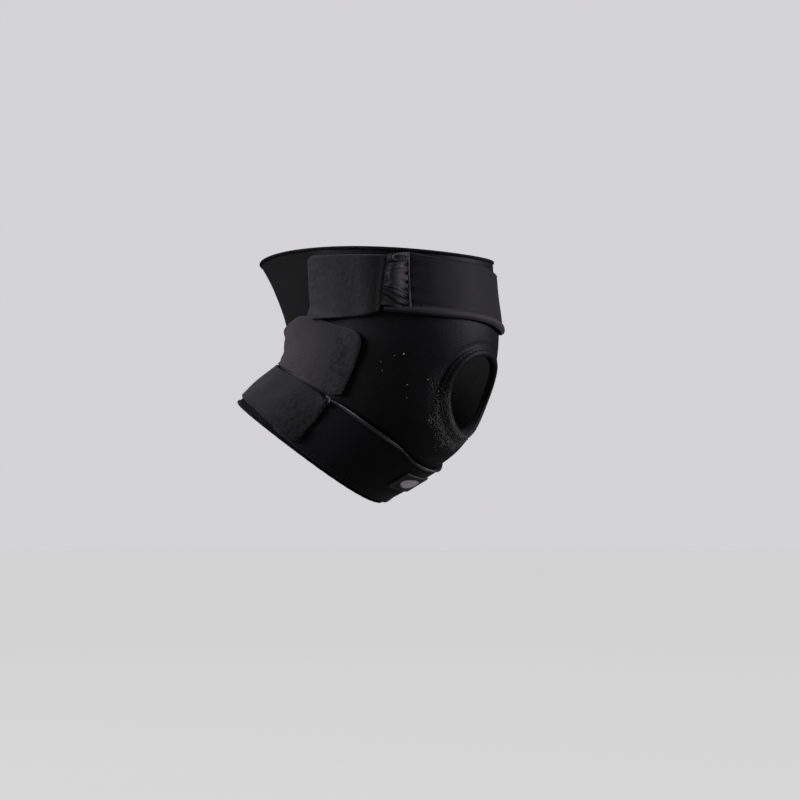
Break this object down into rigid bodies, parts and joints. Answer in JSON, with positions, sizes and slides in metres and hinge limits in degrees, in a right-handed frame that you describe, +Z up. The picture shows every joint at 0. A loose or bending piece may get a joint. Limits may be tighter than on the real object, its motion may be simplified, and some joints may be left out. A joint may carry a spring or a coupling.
{
  "type": "neoprene knee brace",
  "caption": "Bent neoprene sleeve for a knee, open over the kneecap, with hook-and-loop straps above the knee, behind it and below it.",
  "frame": {"origin": "middle of the hollow that the knee fills", "axes": "+Z up the thigh, -Y the way the kneecap looks, -X the outer side of the leg; the shin leaves down and backwards, to -Z and +Y"},
  "size_m": [0.1252, 0.196, 0.1639],
  "materials": {
    "neoprene": "black nylon-faced neoprene, slightly pilled by wear",
    "binding_tape": "stitched edge tape",
    "strap_nylon": "smooth nylon laminate",
    "tab_pile": "short brushed loop pile",
    "knit": "dotted knit with a worn, fuzzy end",
    "label_rubber": "bare, matt"
  },
  "bodies": {
    "root": {"sleeve_body": "neoprene", "patella_ring": "neoprene", "upper_binding": "binding_tape", "lower_binding": "binding_tape", "upper_strap": "strap_nylon", "gathered_patch": "strap_nylon", "upper_tab": "tab_pile", "mid_strap": "knit", "lower_strap": "strap_nylon", "lower_tab": "tab_pile", "label_patch": "label_rubber"}
  },
  "joints": []
}
